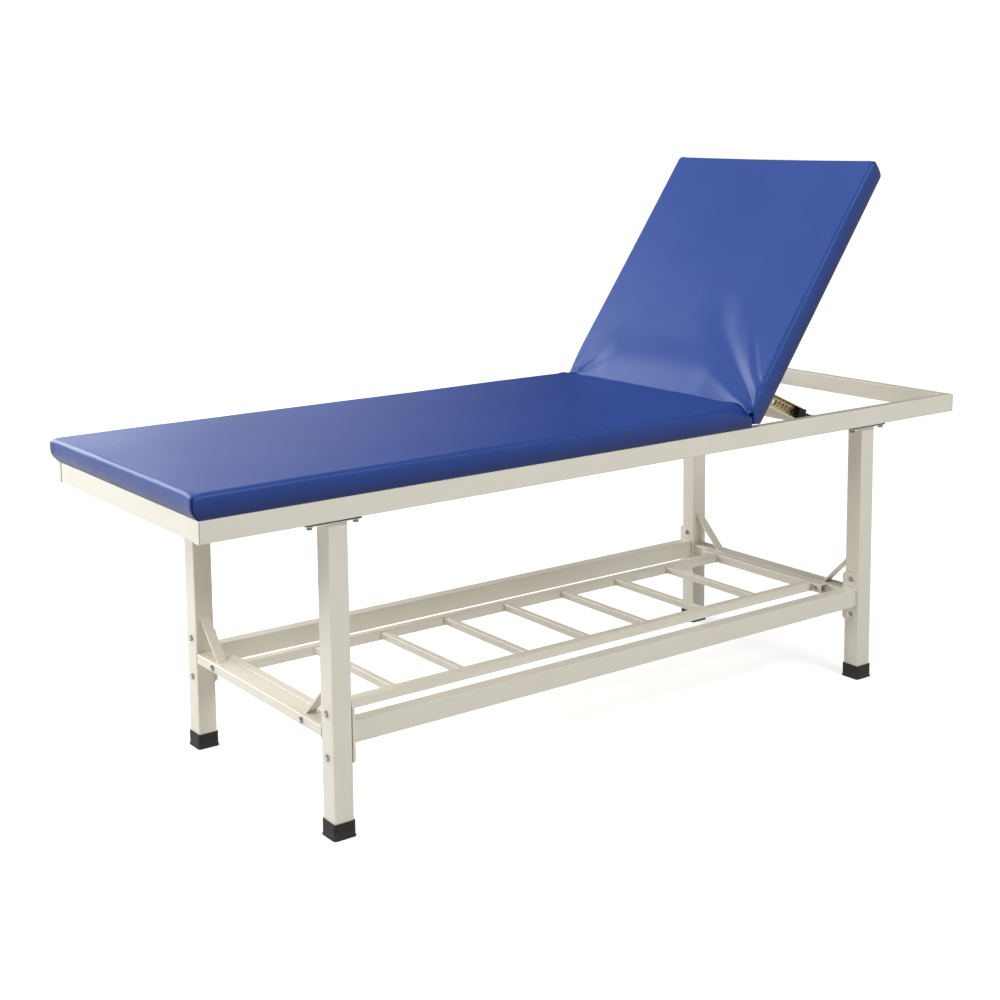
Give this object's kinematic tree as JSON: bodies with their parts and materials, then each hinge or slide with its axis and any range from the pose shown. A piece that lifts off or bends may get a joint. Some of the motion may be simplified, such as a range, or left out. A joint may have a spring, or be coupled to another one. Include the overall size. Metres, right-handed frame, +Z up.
{
  "type": "examination table",
  "caption": "Steel-framed examination table with a flat padded top, a back section that tilts on ratchet struts, and a low open storage rack.",
  "frame": {"origin": "on the floor, under the middle of the table with its pads, which is 6 mm towards the foot end from the middle of the steel frame", "axes": "+X from the foot end to the head end, +Y across, away from the near side, +Z up"},
  "size_m": [1.912, 0.606, 1.1571],
  "materials": {
    "cream_paint": "smooth satin powder coat",
    "cover": "satin polyurethane leather with a fine grain",
    "plywood": "raw plywood",
    "rubber": "matt black rubber",
    "zinc": "bright zinc plate",
    "gold_zinc": "yellow passivated zinc plate",
    "hinge_black": "blackened steel"
  },
  "bodies": {
    "frame": {"side_rail_near": "cream_paint", "side_rail_far": "cream_paint", "end_rail_foot": "cream_paint", "end_rail_head": "cream_paint", "rail_end_caps": "cream_paint", "seat_cross_tube": "cream_paint", "hinge_cross_tube": "cream_paint", "strut_cross_tube": "cream_paint", "leg_foot_near": "cream_paint", "leg_foot_far": "cream_paint", "leg_head_near": "cream_paint", "leg_head_far": "cream_paint", "foot_cross_beam": "cream_paint", "head_cross_beam": "cream_paint", "brace_foot_near": "cream_paint", "brace_foot_far": "cream_paint", "brace_head_near": "cream_paint", "brace_head_far": "cream_paint", "lower_rail_near": "cream_paint", "lower_rail_far": "cream_paint", "foot_cap_foot_near": "rubber", "foot_cap_foot_far": "rubber", "foot_cap_head_near": "rubber", "foot_cap_head_far": "rubber", "rack_tube_near": "cream_paint", "rack_tube_far": "cream_paint", "rack_end_foot": "cream_paint", "rack_end_head": "cream_paint", "rack_bar_1": "cream_paint", "rack_bar_2": "cream_paint", "rack_bar_3": "cream_paint", "rack_bar_4": "cream_paint", "rack_bar_5": "cream_paint", "rack_bar_6": "cream_paint", "rack_bar_7": "cream_paint", "top_bolts": "zinc", "lower_bolts": "zinc", "lower_nuts": "zinc", "rack_bolts": "zinc", "rack_nuts": "zinc", "seat_board": "plywood", "seat_pad": "cover", "hinge_seat_leaves": "hinge_black", "hinge_pins": "zinc", "strut_foot_near": "gold_zinc", "strut_foot_far": "gold_zinc"},
    "backrest": {"back_board": "plywood", "back_pad": "cover", "back_tube_near": "cream_paint", "back_tube_far": "cream_paint", "back_tube_top": "cream_paint", "hinge_back_leaves": "hinge_black", "strut_lug_near": "gold_zinc", "strut_lug_far": "gold_zinc"},
    "strut_bar_near": {"strut_bar_near": "gold_zinc"},
    "strut_channel_near": {"strut_channel_near": "gold_zinc", "strut_block_near": "rubber"},
    "strut_bar_far": {"strut_bar_far": "gold_zinc"},
    "strut_channel_far": {"strut_channel_far": "gold_zinc", "strut_block_far": "rubber"}
  },
  "joints": [
    {"name": "backrest_tilt", "type": "hinge", "parent": "frame", "child": "backrest", "pos_m": [0.333, 0, 0.6164], "axis": [0, 1, 0], "range_deg": [0, 54.3]},
    {"name": "strut_bar_near_pivot", "type": "hinge", "parent": "frame", "child": "strut_bar_near", "pos_m": [0.5603, -0.25, 0.5907], "axis": [0, 1, 0], "range_deg": [-21.12, 0]},
    {"name": "strut_channel_near_slide", "type": "slide", "parent": "strut_bar_near", "child": "strut_channel_near", "axis": [0.9078, 0, -0.4194], "range_m": [0, 0.03575]},
    {"name": "strut_bar_far_pivot", "type": "hinge", "parent": "frame", "child": "strut_bar_far", "pos_m": [0.5603, 0.25, 0.5907], "axis": [0, 1, 0], "range_deg": [-21.12, 0]},
    {"name": "strut_channel_far_slide", "type": "slide", "parent": "strut_bar_far", "child": "strut_channel_far", "axis": [0.9078, 0, -0.4194], "range_m": [0, 0.03575]}
  ],
  "couplings": [
    {"joint": "strut_bar_near_pivot", "follows": "backrest_tilt", "ratio": -0.3889},
    {"joint": "strut_channel_near_slide", "follows": "backrest_tilt", "m_per_rad": 0.03772},
    {"joint": "strut_bar_far_pivot", "follows": "backrest_tilt", "ratio": -0.3889},
    {"joint": "strut_channel_far_slide", "follows": "backrest_tilt", "m_per_rad": 0.03772}
  ]
}
